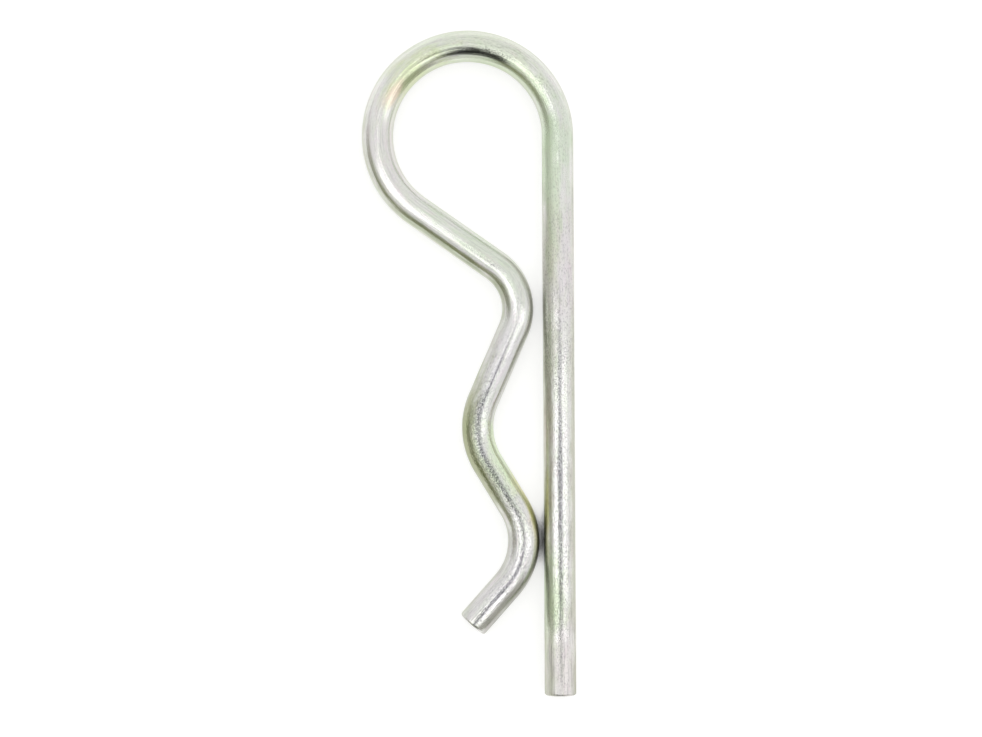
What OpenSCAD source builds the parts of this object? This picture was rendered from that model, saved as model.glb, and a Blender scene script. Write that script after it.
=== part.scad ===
// Hitch R clip pin. One length of round spring wire, bent cold in one plane.
// The straight leg goes through the cross hole of a shaft and the bent arm grips the outside of that shaft.
// It lies flat, with its lowest line on z = 0. The leg runs along +Y, from its tip to the loop.

/* [Wire] */
// Diameter of the wire
wire_d = 4; // [2:0.1:6]
// Radius of the rounded edge at each cut end
end_round = 0.35; // [0.1:0.05:0.6]

/* [Leg and loop] */
// Length of the straight leg, from its tip to the start of the loop
leg_length = 70.9; // [50:0.1:120]
// Radius of the loop, to the centre of the wire
loop_radius = 11.4; // [9:0.1:20]
// How far the loop turns before the wire heads back to the leg, in degrees
loop_turn = 234.7; // [225:0.1:250]

/* [Waist] */
// Clear gap between the leg and the bend below the loop
waist_gap = 1.15; // [0.6:0.05:2.5]
// Radius of that bend, to the centre of the wire
waist_radius = 6.7; // [5:0.1:9]
// How far it turns, in degrees
waist_turn = 78.3; // [72:0.1:94]

/* [Shaft seat] */
// Diameter of the shaft that the clip is made for
shaft_d = 18; // [16:0.5:24]
// How far that shaft pushes the arm aside
spring_travel = 0.7; // [0:0.05:1.5]
// Radius of the bend that seats on the shaft, to the centre of the wire
seat_radius = 8.8; // [7:0.1:12]
// How far it turns, in degrees
seat_turn = 54.6; // [48:0.1:66]

/* [Grip and lead-in] */
// Clear gap between the leg and the bend that grips below the shaft
grip_gap = 0.55; // [0.5:0.05:2]
// Radius of that bend, to the centre of the wire
grip_radius = 8.4; // [6:0.1:11]
// How far it turns, in degrees
grip_turn = 72.6; // [50:0.1:85]
// Straight length of the flared end that leads the clip over the shaft
lead_length = 6.8; // [4:0.1:14]

/* [Hidden] */

zinc = [0.80, 0.80, 0.76];
wire_r = wire_d/2;
round_fn = 72;
bend_fn = 180;

// A turn is made of quarter turns and a rest. The rest is set to the nearby angle, under a tenth of a
// degree away, whose sine and cosine come closest to whole millionths, so that each length of wire
// starts exactly where the one before it stops.
function off_millionths(x) = abs(x*1e6 - round(x*1e6));
function unevenness(a) = max(off_millionths(sin(a)), off_millionths(cos(a)));
function even_angle(a) =
  let (tried = [for (k = [-900:900]) let (t = (round(a*1e4) + k)/1e4) if (t >= 0) [unevenness(t), t]],
       least = min([for (t = tried) t[0]]))
  [for (t = tried) if (t[0] == least) t[1]][0];
function quarters(turn) = floor(turn/90);
function rest_of(turn) = even_angle(turn - 90*quarters(turn));
function made(turn) = 90*quarters(turn) + rest_of(turn);
function whole_microns(x) = round(x*1000)/1000;

// Headings are in degrees, anticlockwise from the leg's own direction, after each bend
after_loop = made(loop_turn);
after_waist = after_loop - made(waist_turn);
after_seat = after_waist + made(seat_turn);

// Where the centre of the wire stands beside the leg's centre line, at the nearest point of each bend
waist_x = -(wire_d + waist_gap);
seat_x = -(shaft_d/2 - spring_travel + wire_r);
grip_x = -(wire_d + grip_gap);

// The arm's straight lengths put those three points where they belong
loop_end_x = -loop_radius*(1 - cos(after_loop));
waist_end_x = waist_x - waist_radius*(1 + cos(after_waist));
seat_end_x = seat_x + seat_radius*(1 + cos(after_seat));
upper_arm = whole_microns((loop_end_x - waist_x + waist_radius*(1 + cos(after_loop)))/sin(after_loop));
middle_arm = whole_microns((waist_end_x - seat_x - seat_radius*(1 + cos(after_waist)))/sin(after_waist));
lower_arm = whole_microns((seat_end_x - grip_x + grip_radius*(1 + cos(after_seat)))/sin(after_seat));

overall_length = leg_length + loop_radius + wire_r;

// A straight length. What follows starts at its far end.
module straight(length) {
  rotate([-90, 0, 0]) cylinder(h = length, r = wire_r, $fn = round_fn);
  translate([0, length, 0]) children();
}

// A straight length that starts at a cut end with a rounded edge
module from_cut_end(length) {
  rotate([-90, 0, 0]) rotate_extrude($fn = round_fn) difference() {
    square([wire_r, length]);
    difference() {
      translate([wire_r - end_round, -end_round]) square(2*end_round);
      translate([wire_r - end_round, end_round]) circle(r = end_round, $fn = round_fn);
    }
  }
  translate([0, length, 0]) children();
}

// The last straight length, which stops at the other cut end
module to_cut_end(length) {
  translate([0, length, 0]) rotate([0, 0, 180]) from_cut_end(length);
}

// Part of a bend, to the left
module arc(radius, angle) {
  if (angle > 0) translate([-radius, 0, 0]) {
    rotate_extrude(angle = angle, $fn = bend_fn) translate([radius, 0]) circle(r = wire_r, $fn = round_fn);
    rotate([0, 0, angle]) translate([radius, 0, 0]) children();
  }
  else children();
}

module bend_left(radius, turn) {
  arc(radius, 90*quarters(turn)) arc(radius, rest_of(turn)) children();
}

// A bend to the right is a bend to the left on wire that is turned over
module bend_right(radius, turn) {
  rotate([0, 180, 0]) bend_left(radius, turn) rotate([0, 180, 0]) children();
}

// The wire, length by length and bend by bend, from the tip of the leg to the flared end
module clip_wire() {
  color(zinc) translate([loop_radius, -overall_length/2, wire_r])
    from_cut_end(leg_length)
    bend_left(loop_radius, loop_turn)
    straight(upper_arm)
    bend_right(waist_radius, waist_turn)
    straight(middle_arm)
    bend_left(seat_radius, seat_turn)
    straight(lower_arm)
    bend_right(grip_radius, grip_turn)
    to_cut_end(lead_length);
}

clip_wire();
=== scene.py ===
import math

import bmesh
import bpy
from mathutils import Matrix, Vector


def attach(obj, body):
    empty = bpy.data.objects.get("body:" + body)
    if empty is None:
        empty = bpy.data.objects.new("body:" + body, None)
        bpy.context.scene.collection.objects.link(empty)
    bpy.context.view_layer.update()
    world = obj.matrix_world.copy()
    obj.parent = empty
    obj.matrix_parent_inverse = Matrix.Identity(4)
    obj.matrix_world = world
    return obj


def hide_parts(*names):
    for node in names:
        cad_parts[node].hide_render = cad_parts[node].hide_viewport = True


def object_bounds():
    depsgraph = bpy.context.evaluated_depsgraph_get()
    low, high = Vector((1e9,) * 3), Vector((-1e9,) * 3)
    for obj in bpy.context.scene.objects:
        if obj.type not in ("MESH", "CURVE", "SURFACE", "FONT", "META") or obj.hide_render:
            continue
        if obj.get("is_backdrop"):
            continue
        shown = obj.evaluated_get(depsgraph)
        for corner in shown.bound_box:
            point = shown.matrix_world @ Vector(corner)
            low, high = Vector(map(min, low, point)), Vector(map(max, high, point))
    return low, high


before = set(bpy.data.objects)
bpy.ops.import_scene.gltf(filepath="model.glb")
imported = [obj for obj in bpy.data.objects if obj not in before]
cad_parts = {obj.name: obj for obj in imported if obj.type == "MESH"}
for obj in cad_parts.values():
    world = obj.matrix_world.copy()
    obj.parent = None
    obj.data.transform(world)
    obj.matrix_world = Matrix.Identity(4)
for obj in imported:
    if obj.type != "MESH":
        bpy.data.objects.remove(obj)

cadLow, cadHigh = (Vector(corner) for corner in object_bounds())
print("frame loaded, clip", [round(v * 1000, 2) for v in cadHigh - cadLow], "mm")

clipWire = {
    "wireDiameter": 0.004,
    "legLength": 0.0709,     # from the tip to the start of the loop
    "loopRadius": 0.0114,    # every radius is to the centre of the wire
    "loopTurn": 234.7,       # every turn is in degrees
    "waistGap": 0.00115,     # clear of the leg
    "waistRadius": 0.0067,
    "waistTurn": 78.3,
    "seatReach": 0.0083,     # from the leg's centre line to the inside of the seat
    "seatRadius": 0.0088,
    "seatTurn": 54.6,
    "gripGap": 0.00055,      # clear of the leg
    "gripRadius": 0.0084,
    "gripTurn": 72.6,
    "leadLength": 0.0068,
    "endRound": 0.00035,     # rolled edge at each cut end
    "endDome": 0.00006,      # how much the middle of a cut end stands proud of its edge
    "rollSteps": 8,          # rings of faces on a rolled edge
    "domeRings": 5,          # rings of faces on a cut end
    "facesAround": 88,
    "straightFace": 0.0005,  # length of one face along a straight
    "bendFace": 2.0,         # degrees of bend in one face
}


def turnAbout(radius, degrees, side):
    # carries a wire frame round a bend: side 1 is to the left, -1 to the right
    toCentre = Matrix.Translation((-side * radius, 0, 0))
    spin = Matrix.Rotation(math.radians(side * degrees), 4, "Z")
    return toCentre @ spin @ toCentre.inverted()


def bendProgramme(wire):
    # the lengths and bends from the tip of the leg to the flared end
    r = wire["wireDiameter"] / 2
    sine = lambda degrees: math.sin(math.radians(degrees))
    cosine = lambda degrees: math.cos(math.radians(degrees))
    afterLoop = wire["loopTurn"]
    afterWaist = afterLoop - wire["waistTurn"]
    afterSeat = afterWaist + wire["seatTurn"]
    waistX = -(2 * r + wire["waistGap"])
    seatX = -(wire["seatReach"] + r)
    gripX = -(2 * r + wire["gripGap"])
    loopEndX = -wire["loopRadius"] * (1 - cosine(afterLoop))
    waistEndX = waistX - wire["waistRadius"] * (1 + cosine(afterWaist))
    seatEndX = seatX + wire["seatRadius"] * (1 + cosine(afterSeat))
    upperArm = (loopEndX - waistX + wire["waistRadius"] * (1 + cosine(afterLoop))) / sine(afterLoop)
    middleArm = (waistEndX - seatX - wire["seatRadius"] * (1 + cosine(afterWaist))) / sine(afterWaist)
    lowerArm = (seatEndX - gripX + wire["gripRadius"] * (1 + cosine(afterSeat))) / sine(afterSeat)
    return [
        ("length", wire["legLength"] - wire["endRound"] - wire["endDome"]),
        ("bend", wire["loopRadius"], wire["loopTurn"], 1),
        ("length", upperArm),
        ("bend", wire["waistRadius"], wire["waistTurn"], -1),
        ("length", middleArm),
        ("bend", wire["seatRadius"], wire["seatTurn"], 1),
        ("length", lowerArm),
        ("bend", wire["gripRadius"], wire["gripTurn"], -1),
        ("length", wire["leadLength"] - wire["endRound"] - wire["endDome"]),
    ]


def makeClipWire(wire):
    r = wire["wireDiameter"] / 2
    tip = Vector((cadHigh.x - r, cadLow.y + wire["endDome"], r))
    bm = bmesh.new()
    asDrawn = bm.verts.layers.float_vector.new("straightWire")  # a point's place before the bends, in mm
    runsAlong = bm.verts.layers.float_vector.new("wireRun")     # the way the wire runs, or down a cut end
    cutEnd = bm.verts.layers.float.new("cutEnd")                # 1 on the two sheared ends

    place = Matrix.Translation(tip)  # the wire's own frame: Y along it, Z up
    along = 0.0

    def mark(verts, onEnd=0.0):
        back = place.inverted()
        for v in verts:
            x, y, z = back @ v.co
            v[asDrawn] = Vector((x, along + y, z)) * 1000
            v[runsAlong] = place.to_3x3() @ Vector((0, 1 - onEnd, onEnd))
            v[cutEnd] = onEnd

    def carryOn(edges, step, grow=1.0):
        # one more ring of wire: extruded, carried to the next place and scaled
        nonlocal place
        new = bmesh.ops.extrude_edge_only(bm, edges=edges)["geom"]
        verts = [g for g in new if isinstance(g, bmesh.types.BMVert)]
        ring = [g for g in new if isinstance(g, bmesh.types.BMEdge) and set(g.verts) <= set(verts)]
        bmesh.ops.transform(bm, matrix=place @ step @ place.inverted(), verts=verts)
        place = place @ step
        if grow != 1.0:
            bmesh.ops.scale(bm, vec=(grow, 1, grow), space=place.inverted(), verts=verts)
        return ring, verts

    flat = r - wire["endRound"]  # radius of the flat of a cut end
    rollSteps = wire["rollSteps"]
    cutSteps = 5  # how many of them the look of the cut end spreads over
    domeRings = wire["domeRings"]

    def dome(face, outwards):
        # a cut face is inset in rings, and a last point, that rise to a slight dome
        for n in range(domeRings):
            if n < domeRings - 1:
                bmesh.ops.inset_individual(bm, faces=[face], thickness=flat / domeRings)
                verts = list(face.verts)
            else:
                verts = bmesh.ops.poke(bm, faces=[face])["verts"]
            rise = wire["endDome"] * (2 * n + 1) / domeRings ** 2
            bmesh.ops.translate(bm, vec=place.to_3x3() @ Vector((0, outwards * rise, 0)), verts=verts)
            mark(verts, 1.0)

    def roll(n):
        # how far the rolled edge has come along the wire at its nth step, and its radius there
        angle = math.pi / 2 * n / rollSteps
        return wire["endRound"] * (1 - math.cos(angle)), flat + wire["endRound"] * math.sin(angle)

    # the sheared tip: a disc, and its rolled edge
    disc = bmesh.ops.create_circle(bm, cap_ends=True, radius=flat, segments=wire["facesAround"],
                                   matrix=place @ Matrix.Rotation(math.radians(90), 4, "X"))["verts"]
    mark(disc, 1.0)
    tipFace = bm.faces[:][0]
    tipPlace = place
    ring = list(tipFace.edges)
    for k in range(1, rollSteps + 1):
        before, after = roll(k - 1), roll(k)
        ring, verts = carryOn(ring, Matrix.Translation((0, after[0] - before[0], 0)), after[1] / before[1])
        along += after[0] - before[0]
        mark(verts, max(0.0, 1 - k / cutSteps))

    # the wire itself
    for kind, *size in bendProgramme(wire):
        if kind == "length":
            count = max(2, round(size[0] / wire["straightFace"]))
            travel = size[0] / count
            step = Matrix.Translation((0, travel, 0))
        else:
            radius, degrees, side = size
            count = round(degrees / wire["bendFace"])
            travel = radius * math.radians(degrees) / count
            step = turnAbout(radius, degrees / count, side)
        for k in range(count):
            ring, verts = carryOn(ring, step)
            along += travel
            mark(verts)

    # the far end, rolled the same way and closed, and then the tip's own face
    for k in range(rollSteps, 0, -1):
        before, after = roll(k), roll(k - 1)
        ring, verts = carryOn(ring, Matrix.Translation((0, before[0] - after[0], 0)), after[1] / before[1])
        along += before[0] - after[0]
        mark(verts, max(0.0, 1 - (k - 1) / cutSteps))
    dome(bmesh.ops.contextual_create(bm, geom=ring)["faces"][0], 1)
    wireLength = along
    place, along = tipPlace, 0.0
    dome(tipFace, -1)
    bmesh.ops.recalc_face_normals(bm, faces=bm.faces)
    mesh = bpy.data.meshes.new("clipWire")
    bm.to_mesh(mesh)
    bm.free()
    mesh.polygons.foreach_set("use_smooth", [True] * len(mesh.polygons))
    piece = bpy.data.objects.new("clipWire", mesh)
    bpy.context.collection.objects.link(piece)
    print("wire swept,", round(wireLength * 1000, 1), "mm long,", len(mesh.polygons), "faces")
    return piece


zincPlate = {
    "silver": (0.790, 0.785, 0.765, 1),
    # the darker rows down the flanks are painted shade, for the darker floor and wire that the flanks
    # reflect; the near-white row at 121 mm, 84 degrees round, is a painted highlight; the rest are the
    # plate's own tints
    "tintsAndPaintedShades": [  # mm along the wire, degrees round from its top, half length, half width, colour
        (4, 0, 6, 5.0, (0.780, 0.735, 0.720, 1)),
        (1.5, -50, 3, 1.2, (0.680, 0.690, 0.600, 1)),
        (13, -40, 6, 1.9, (0.600, 0.700, 0.490, 1)),
        (26, 66, 32, 0.85, (0.500, 0.495, 0.420, 1)),
        (24, -56, 6, 0.9, (0.540, 0.560, 0.370, 1)),
        (34, -54, 7, 1.0, (0.560, 0.490, 0.420, 1)),
        (44, -44, 9, 1.5, (0.500, 0.520, 0.420, 1)),
        (55, 30, 8, 5.0, (0.760, 0.720, 0.735, 1)),
        (61, -26, 13, 1.1, (0.600, 0.630, 0.500, 1)),
        (77, -30, 9, 0.8, (0.540, 0.600, 0.460, 1)),
        (69, -40, 8, 3.0, (0.660, 0.770, 0.600, 1)),
        (84, -45, 8, 2.4, (0.680, 0.750, 0.580, 1)),
        (90, 45, 9, 2.6, (0.730, 0.765, 0.660, 1)),
        (98, -35, 6, 2.2, (0.700, 0.770, 0.480, 1)),
        (101, -30, 2, 1.2, (0.830, 0.690, 0.560, 1)),
        (109, -20, 6, 4.5, (0.770, 0.745, 0.740, 1)),
        (121, 54, 12, 0.7, (0.420, 0.470, 0.320, 1)),
        (121, 84, 14, 0.5, (0.960, 0.960, 0.940, 1)),
        (128, -30, 8, 1.8, (0.700, 0.760, 0.640, 1)),
        (137, 46, 8, 0.8, (0.620, 0.660, 0.540, 1)),
        (140, 52, 12, 1.0, (0.300, 0.320, 0.220, 1)),
        (143, 0, 8, 5.0, (0.770, 0.750, 0.765, 1)),
        (155, 50, 9, 1.5, (0.330, 0.360, 0.180, 1)),
        (157, -48, 6, 1.9, (0.800, 0.920, 0.660, 1)),
        (165, -72, 5, 1.3, (0.880, 0.820, 0.420, 1)),
        (174, -72, 8, 1.1, (0.120, 0.115, 0.080, 1)),
        (173, 60, 9, 1.2, (0.420, 0.410, 0.385, 1)),
        (174, 0, 7, 3.0, (0.770, 0.750, 0.760, 1)),
    ],
    "tintAndShadeStrength": 0.75,
    "topTracks": [  # mm along the wire, degrees round from its top, half length, half width
        (27, 3, 21, 0.28),
        (146, -3, 7, 0.16),
        (155, 2, 9, 0.60),
        (175, 0, 7, 0.22),
    ],
    "topTrackShade": (0.77, 0.77, 0.80, 1),
    "pitShade": (0.54, 0.54, 0.56, 1),
    "speckShade": (0.70, 0.70, 0.71, 1),
    "streakShade": (0.68, 0.68, 0.69, 1),
    # painted shade down the sides of the wire
    "paintedSideShade": (0.86, 0.88, 0.82, 1),
    # where specks, streaks and matte plate are strongest, given as the top tracks are
    "speckled": [(28, 4, 46, 1.2), (50, 0, 12, 4.0), (162, 0, 24, 1.6)],
    "speckLeast": 0.22,        # how much of them is left elsewhere
    "streaked": [(1, 0, 10, 7.0)],
    "streakLeast": 0.35,
    "matte": [(1, 0, 9, 7.0), (58, 0, 14, 7.0)],
    "matteRoughness": 0.34,
    "roughness": (0.14, 0.22),  # from the brightest to the dullest stretch
    "cutColour": (0.690, 0.680, 0.650, 1),
    "scoreShade": (0.66, 0.66, 0.66, 1),
    "brokenShade": (0.72, 0.72, 0.71, 1),
    "cutRoughness": 0.38,
    "drawn": 0.80,             # how much sharper a reflection is along the wire than across it
    "waveDepth": 0.000035,
    "drawLineDepth": 0.000024,
    "grainDepth": 0.000018,
    "fineGrainDepth": 0.000030,
    "scoreDepth": 0.000060,
}


def zincPlatedWire(look):
    mat = bpy.data.materials.new("zincPlatedWire")
    mat.use_nodes = True
    tree = mat.node_tree
    shader = tree.nodes["Principled BSDF"]
    shader.inputs["Metallic"].default_value = 1.0
    shader.inputs["Anisotropic"].default_value = look["drawn"]
    shader.inputs["Anisotropic Rotation"].default_value = 0.25

    def node(kind, **settings):
        made = tree.nodes.new(kind)
        for name, value in settings.items():
            setattr(made, name, value)
        return made

    def join(source, target):
        tree.links.new(source, target)

    def maths(operation, first, second=0.0):
        made = node("ShaderNodeMath", operation=operation)
        for n, value in enumerate((first, second)):
            if isinstance(value, (int, float)):
                made.inputs[n].default_value = value
            else:
                join(value, made.inputs[n])
        return made.outputs[0]

    def between(value, low, high, toLow=0.0, toHigh=1.0, smooth=False):
        # value's range from low to high, carried to the range from toLow to toHigh
        made = node("ShaderNodeMapRange", interpolation_type="SMOOTHSTEP" if smooth else "LINEAR")
        for name, number in (("From Min", low), ("From Max", high), ("To Min", toLow), ("To Max", toHigh)):
            made.inputs[name].default_value = number
        join(value, made.inputs["Value"])
        return made.outputs["Result"]

    def tinted(colour, shade, amount, blend="MIX"):
        made = node("ShaderNodeMix", data_type="RGBA", blend_type=blend)
        join(amount, made.inputs["Factor"])
        join(colour, made.inputs["A"])
        made.inputs["B"].default_value = shade
        return made.outputs["Result"]

    place = node("ShaderNodeAttribute", attribute_name="straightWire")
    run = node("ShaderNodeAttribute", attribute_name="wireRun")
    cutEnd = node("ShaderNodeAttribute", attribute_name="cutEnd")
    join(run.outputs["Vector"], shader.inputs["Tangent"])

    def noiseOn(around, alongWire, detail=2.0, roughness=0.5, shift=0.0, upDown=None):
        # a noise whose grain is `around` mm round the wire and `alongWire` mm along it
        stretch = node("ShaderNodeMapping")
        stretch.inputs["Scale"].default_value = (1 / around, 1 / alongWire, 1 / (upDown or around))
        stretch.inputs["Location"].default_value = (shift, shift, shift)
        noise = node("ShaderNodeTexNoise")
        noise.inputs["Scale"].default_value = 1.0
        noise.inputs["Detail"].default_value = detail
        noise.inputs["Roughness"].default_value = roughness
        join(place.outputs["Vector"], stretch.inputs["Vector"])
        join(stretch.outputs["Vector"], noise.inputs["Vector"])
        return noise.outputs["Fac"]

    parts = node("ShaderNodeSeparateXYZ")
    join(place.outputs["Vector"], parts.inputs["Vector"])
    wireRadius = clipWire["wireDiameter"] / 2 * 1000  # mm
    angle = maths("ARCTAN2", parts.outputs["X"], parts.outputs["Z"])
    roundWire = maths("MULTIPLY", angle, wireRadius)  # mm round from the top

    def patch(alongWire, degrees, halfLength, halfWidth, wander):
        # 1 inside an oval on the wire, fading to 0 round its wandering edge
        u = maths("DIVIDE", maths("SUBTRACT", parts.outputs["Y"], alongWire), halfLength)
        v = maths("DIVIDE", maths("SUBTRACT", roundWire, math.radians(degrees) * wireRadius), halfWidth)
        away = maths("SQRT", maths("ADD", maths("MULTIPLY", u, u), maths("MULTIPLY", v, v)))
        return between(maths("ADD", away, wander), 1.5, 0.3, smooth=True)

    def patches(rows, wander):
        # several such ovals, each point taking the strongest
        strongest = None
        for row in rows:
            mask = patch(*row, wander)
            strongest = maths("MAXIMUM", strongest, mask) if strongest else mask
        return strongest

    # casts of colour in the passivated plate, with painted shade down the flanks and a painted highlight on
    # one rim
    wander = maths("MULTIPLY", maths("SUBTRACT", noiseOn(1.6, 5, 3.0, 0.6, shift=3.3), 0.5), 2.5)
    silver = node("ShaderNodeRGB")
    silver.outputs[0].default_value = look["silver"]
    colour = silver.outputs[0]
    for alongWire, degrees, halfLength, halfWidth, tintOrPaintedShade in look["tintsAndPaintedShades"]:
        mask = patch(alongWire, degrees, halfLength, halfWidth, wander)
        colour = tinted(colour, tintOrPaintedShade, maths("MULTIPLY", mask, look["tintAndShadeStrength"]))

    # fine mottling between a greener and a pinker silver
    green = between(noiseOn(0.7, 3.0, 4.0, 0.65, shift=5.1), 0.55, 0.38)
    pink = between(noiseOn(0.6, 2.0, 4.0, 0.65, shift=8.4), 0.50, 0.66)
    colour = tinted(colour, (0.965, 1.0, 0.94, 1), green, "MULTIPLY")
    colour = tinted(colour, (1.0, 0.965, 0.985, 1), pink, "MULTIPLY")

    # painted shade down the sides, darkening what they reflect of the floor
    side = between(maths("ABSOLUTE", roundWire), 1.8, 2.6, smooth=True)
    colour = tinted(colour, look["paintedSideShade"], side, "MULTIPLY")

    # dull specks and streaks, drawn out along the wire, and darker tracks along the top
    speckled = between(patches(look["speckled"], wander), 0.0, 1.0, look["speckLeast"], 1.0)
    specks = between(noiseOn(0.16, 0.34, 2.0, 0.6, shift=1.7), 0.50, 0.66)
    streaks = between(noiseOn(0.16, 4.0, 2.0, 0.5, shift=6.6), 0.50, 0.68)
    colour = tinted(colour, look["speckShade"], maths("MULTIPLY", specks, speckled), "MULTIPLY")
    streaked = between(patches(look["streaked"], wander), 0.0, 1.0, look["streakLeast"], 1.0)
    colour = tinted(colour, look["streakShade"], maths("MULTIPLY", streaks, streaked), "MULTIPLY")
    onTopTrack = patches(look["topTracks"], maths("MULTIPLY", wander, 0.5))
    pits = between(noiseOn(0.13, 0.20, 1.0, 0.5, shift=2.9), 0.48, 0.60)
    colour = tinted(colour, look["topTrackShade"], onTopTrack, "MULTIPLY")
    colour = tinted(colour, look["pitShade"], maths("MULTIPLY", onTopTrack, pits), "MULTIPLY")

    # the sheared ends: scored where the blade went in, dull where the wire broke away
    cut = cutEnd.outputs["Fac"]
    scores = noiseOn(0.15, 9, 2.0, shift=3.8, upDown=1.6)
    upTheEnd = maths("ADD", parts.outputs["Z"], maths("MULTIPLY", wander, 0.4))
    broken = between(upTheEnd, 0.3, -0.3, smooth=True)
    scored = maths("MULTIPLY", between(scores, 0.45, 0.65), cut)
    colour = tinted(colour, look["cutColour"], cut)
    colour = tinted(colour, look["scoreShade"], scored, "MULTIPLY")
    colour = tinted(colour, look["brokenShade"], maths("MULTIPLY", broken, cut), "MULTIPLY")
    join(colour, shader.inputs["Base Color"])

    # duller and brighter stretches, and dull cut ends
    rough = between(noiseOn(0.8, 5, 4.0, shift=7.3), 0.3, 0.7, *look["roughness"])
    for mask, roughness in ((patches(look["matte"], wander), look["matteRoughness"]),
                            (cut, look["cutRoughness"])):
        dull = node("ShaderNodeMix")
        join(mask, dull.inputs["Factor"])
        join(rough, dull.inputs["A"])
        dull.inputs["B"].default_value = roughness
        rough = dull.outputs["Result"]
    join(rough, shader.inputs["Roughness"])

    # waves, draw lines, the coarse and fine grain of the plate, and the marks of the shear
    normal = None
    for height, depth in (
        (noiseOn(3, 9, 1.0, shift=2.1), look["waveDepth"]),
        (noiseOn(0.28, 6, 2.0, shift=4.7), look["drawLineDepth"]),
        (maths("MULTIPLY", noiseOn(0.45, 0.9, 2.0, 0.5, shift=9.2), speckled), look["grainDepth"]),
        (maths("MULTIPLY", noiseOn(0.16, 0.24, 1.0, 0.5, shift=6.1), speckled), look["fineGrainDepth"]),
        (maths("MULTIPLY", scores, cut), look["scoreDepth"]),
    ):
        bump = node("ShaderNodeBump")
        bump.inputs["Strength"].default_value = 1.0
        bump.inputs["Distance"].default_value = depth
        join(height, bump.inputs["Height"])
        if normal:
            join(normal, bump.inputs["Normal"])
        normal = bump.outputs["Normal"]
    join(normal, shader.inputs["Normal"])
    return mat


wire = makeClipWire(clipWire)
wire.data.materials.append(zincPlatedWire(zincPlate))
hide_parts("clip_wire")
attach(wire, "root")
print("wire plated")

studio = {
    "cameraHeight": 0.34754,
    "lens": 100.0,
    "lookAt": (0.002825, -0.00067),
    "lean": -0.32,             # degrees that the camera is turned about its line of sight
    "sky": (0.94, 0.94, 0.94, 1),
    "walls": [  # shapes low down: azimuth from east, degrees from overhead, half sizes, soft edges, colour
        (206, 80, 20, 14, 30, 22, (0.44, 0.44, 0.38, 1)),
        (224, 83, 15, 14, 16, 13, (0.30, 0.31, 0.20, 1)),
        (292, 52, 12, 8, 12, 8, (0.30, 0.32, 0.22, 1)),
        (312, 76, 10, 20, 14, 14, (0.45, 0.45, 0.40, 1)),
        (262, 50, 19, 14, 11, 8, (0.004, 0.004, 0.003, 1)),
    ],
    "softBoxes": [  # place, size, turn, brightness over the sky
        ((-0.217, -0.066, 0.317), (0.105, 0.084), 16, 0.80),
        ((-0.105, -0.0455, 0.317), (0.120, 0.139), 0, 0.80),
        ((0.290, -0.040, 0.290), (0.380, 0.095), -2, 0.55),
        ((0.140, -0.185, 0.332), (0.240, 0.100), -42, 0.70),
        ((-0.010, 0.038, 0.300), (0.042, 0.030), 0, 1.10),
    ],
    "darkCards": [  # place, size, turn: the camera, and the arm that holds it
        ((0.0114, -0.0445, 0.356), (0.108, 0.056), -9),
        ((-0.028, -0.139, 0.358), (0.068, 0.178), -1),
    ],
    "floorColour": (0.56, 0.56, 0.55, 1),
    "floorGlow": 0.64,         # lifts the floor to white where nothing shades it
    # the floor's colour in the gap at the grip is a painted shade that makes the gap look shut
    "paintedGapShade": (0.02, 0.02, 0.02, 1),
    "gapPlace": (0.0091, -0.0216, 0),  # where the grip comes nearest to the leg
    "gapReach": (0.0035, 0.0070),      # how far round it the floor darkens, and where that ends
    "gapDark": 0.19,           # the share of the overhead that the floor sees where it is darkest
    "gapOpen": 0.25,           # and where it is open
    "contactOpen": 0.34,       # the same along the rest of the clip
    "contactLeast": 0.12,      # how light the floor stays right under it
    "shadeReach": 0.004,       # how near a surface has to be to shade the floor
}


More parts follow.
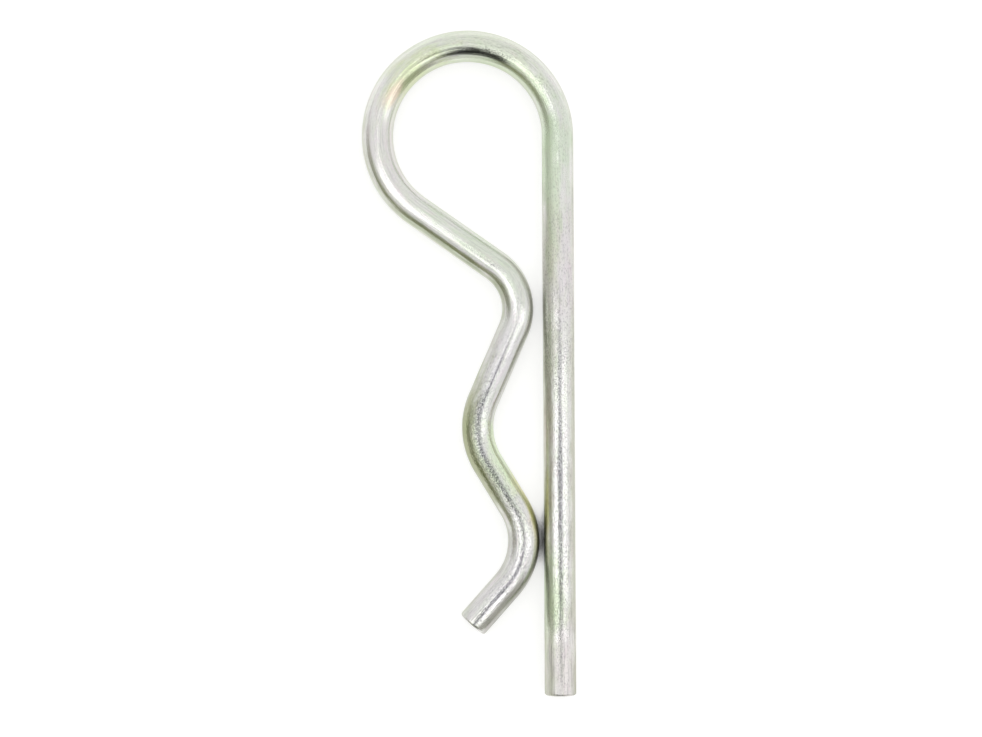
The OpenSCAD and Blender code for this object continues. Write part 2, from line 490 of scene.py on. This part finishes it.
def whiteTent(look):
    # a white tent, with the dark shape of whoever works the camera standing to the south
    world = bpy.data.worlds.new("whiteTent")
    bpy.context.scene.world = world
    world.use_nodes = True
    tree = world.node_tree
    tree.nodes.clear()

    def node(kind, **settings):
        made = tree.nodes.new(kind)
        for name, value in settings.items():
            setattr(made, name, value)
        return made

    def maths(operation, first, second=0.0):
        made = node("ShaderNodeMath", operation=operation)
        for n, value in enumerate((first, second)):
            if isinstance(value, (int, float)):
                made.inputs[n].default_value = value
            else:
                tree.links.new(value, made.inputs[n])
        return made.outputs[0]

    def within(value, half, soft):
        # 1 where value is nearer to 0 than half, fading to 0 over soft
        fade = node("ShaderNodeMapRange", interpolation_type="SMOOTHSTEP")
        fade.inputs["From Min"].default_value = half + soft
        fade.inputs["From Max"].default_value = half
        tree.links.new(maths("ABSOLUTE", value), fade.inputs["Value"])
        return fade.outputs["Result"]

    way = node("ShaderNodeTexCoord")
    parts = node("ShaderNodeSeparateXYZ")
    tree.links.new(way.outputs["Generated"], parts.inputs["Vector"])
    azimuth = maths("MULTIPLY", maths("ARCTAN2", parts.outputs["Y"], parts.outputs["X"]), math.degrees(1))
    fromOverhead = maths("MULTIPLY", maths("ARCCOSINE", parts.outputs["Z"]), math.degrees(1))

    colour = node("ShaderNodeRGB")
    colour.outputs[0].default_value = look["sky"]
    colour = colour.outputs[0]

    def paint(mask, shade):
        nonlocal colour
        mix = node("ShaderNodeMix", data_type="RGBA")
        tree.links.new(mask, mix.inputs["Factor"])
        tree.links.new(colour, mix.inputs["A"])
        mix.inputs["B"].default_value = shade
        colour = mix.outputs["Result"]

    for centre, below, halfWide, halfHigh, softWide, softHigh, shade in look["walls"]:
        turned = maths("WRAP", maths("SUBTRACT", azimuth, centre), 180.0)
        turned.node.inputs[2].default_value = -180.0
        paint(maths("MULTIPLY", within(turned, halfWide, softWide),
                    within(maths("SUBTRACT", fromOverhead, below), halfHigh, softHigh)), shade)

    path = node("ShaderNodeLightPath")
    seen = node("ShaderNodeMix", data_type="RGBA")
    seen.inputs["B"].default_value = (1, 1, 1, 1)
    tree.links.new(path.outputs["Is Camera Ray"], seen.inputs["Factor"])
    tree.links.new(colour, seen.inputs["A"])
    background = node("ShaderNodeBackground")
    tree.links.new(seen.outputs["Result"], background.inputs["Color"])
    out = node("ShaderNodeOutputWorld")
    tree.links.new(background.outputs["Background"], out.inputs["Surface"])


def softBoxes(look):
    for n, (place, size, turn, brightness) in enumerate(look["softBoxes"]):
        light = bpy.data.lights.new(f"softBox{n + 1}", "AREA")
        light.shape = "RECTANGLE"
        light.size, light.size_y = size
        light.energy = brightness * math.pi * size[0] * size[1]  # watts that make a face of that brightness
        box = bpy.data.objects.new(light.name, light)
        box.location = place
        box.rotation_euler = (0, 0, math.radians(turn))
        bpy.context.collection.objects.link(box)


def darkCards(look):
    mat = bpy.data.materials.new("darkCard")
    mat.use_nodes = True
    shader = mat.node_tree.nodes["Principled BSDF"]
    shader.inputs["Base Color"].default_value = (0.01, 0.01, 0.01, 1)
    shader.inputs["Roughness"].default_value = 0.9
    for n, (place, size, turn) in enumerate(look["darkCards"]):
        bm = bmesh.new()
        turned = Matrix.Translation(place) @ Matrix.Rotation(math.radians(turn), 4, "Z")
        shape = turned @ Matrix.Diagonal((*size, 1, 1))
        bmesh.ops.create_grid(bm, x_segments=1, y_segments=1, size=0.5, matrix=shape)
        mesh = bpy.data.meshes.new(f"darkCard{n + 1}")
        bm.to_mesh(mesh)
        bm.free()
        mesh.materials.append(mat)
        card = bpy.data.objects.new(mesh.name, mesh)
        card.visible_camera = False
        bpy.context.collection.objects.link(card)
        card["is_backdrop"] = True


def whiteFloor(look):
    bm = bmesh.new()
    bmesh.ops.create_grid(bm, x_segments=1, y_segments=1, size=1.5)
    mesh = bpy.data.meshes.new("floor")
    bm.to_mesh(mesh)
    bm.free()
    floor = bpy.data.objects.new("floor", mesh)
    bpy.context.collection.objects.link(floor)
    mat = bpy.data.materials.new("whiteTable")
    mat.use_nodes = True
    tree = mat.node_tree
    shader = tree.nodes["Principled BSDF"]
    shader.inputs["Roughness"].default_value = 0.9
    shader.inputs["Specular IOR Level"].default_value = 0.0

    def faded(value, low, high, toLow=0.0, toHigh=1.0):
        made = tree.nodes.new("ShaderNodeMapRange")
        made.interpolation_type = "SMOOTHSTEP"
        for name, number in (("From Min", low), ("From Max", high), ("To Min", toLow), ("To Max", toHigh)):
            made.inputs[name].default_value = number
        tree.links.new(value, made.inputs["Value"])
        return made.outputs["Result"]

    # 0 in the gap at the grip, a soft shade along the rest of the clip, 1 where the floor lies open; the
    # floor's colour and glow follow it, a painted shade
    crevice = tree.nodes.new("ShaderNodeAmbientOcclusion")
    crevice.inputs["Distance"].default_value = look["shadeReach"]
    crevice.samples = 32
    spot = tree.nodes.new("ShaderNodeTexCoord")
    away = tree.nodes.new("ShaderNodeVectorMath")
    away.operation = "DISTANCE"
    away.inputs[1].default_value = look["gapPlace"]
    tree.links.new(spot.outputs["Object"], away.inputs[0])
    openness = tree.nodes.new("ShaderNodeMix")
    seen = crevice.outputs["AO"]
    tree.links.new(faded(away.outputs["Value"], *look["gapReach"]), openness.inputs["Factor"])
    tree.links.new(faded(seen, look["gapDark"], look["gapOpen"]), openness.inputs["A"])
    tree.links.new(faded(seen, 0.0, look["contactOpen"], look["contactLeast"]), openness.inputs["B"])
    paintedShadeGround = tree.nodes.new("ShaderNodeMix")
    paintedShadeGround.data_type = "RGBA"
    paintedShadeGround.inputs["A"].default_value = look["paintedGapShade"]
    paintedShadeGround.inputs["B"].default_value = look["floorColour"]
    tree.links.new(openness.outputs["Result"], paintedShadeGround.inputs["Factor"])
    tree.links.new(paintedShadeGround.outputs["Result"], shader.inputs["Base Color"])

    # the glow is there for the camera and in reflections, and adds no light; it is dimmed by the same
    # painted shade
    path = tree.nodes.new("ShaderNodeLightPath")
    glow = path.outputs["Is Camera Ray"]
    for operation, other in (
        ("MAXIMUM", path.outputs["Is Glossy Ray"]),
        ("MULTIPLY", openness.outputs["Result"]),
        ("MULTIPLY", look["floorGlow"]),
    ):
        step = tree.nodes.new("ShaderNodeMath")
        step.operation = operation
        tree.links.new(glow, step.inputs[0])
        if isinstance(other, float):
            step.inputs[1].default_value = other
        else:
            tree.links.new(other, step.inputs[1])
        glow = step.outputs[0]
    shader.inputs["Emission Color"].default_value = (1, 1, 1, 1)
    tree.links.new(glow, shader.inputs["Emission Strength"])
    mesh.materials.append(mat)
    floor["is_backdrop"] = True


def overheadCamera(look):
    data = bpy.data.cameras.new("overhead")
    data.lens = look["lens"]
    data.clip_start = 0.01
    camera = bpy.data.objects.new("overhead", data)
    camera.location = (*look["lookAt"], look["cameraHeight"])
    camera.rotation_euler = (0, 0, math.radians(look["lean"]))
    bpy.context.collection.objects.link(camera)
    bpy.context.scene.camera = camera


whiteTent(studio)
softBoxes(studio)
darkCards(studio)
whiteFloor(studio)
overheadCamera(studio)
bpy.context.scene.view_settings.view_transform = "Standard"
print("studio ready")
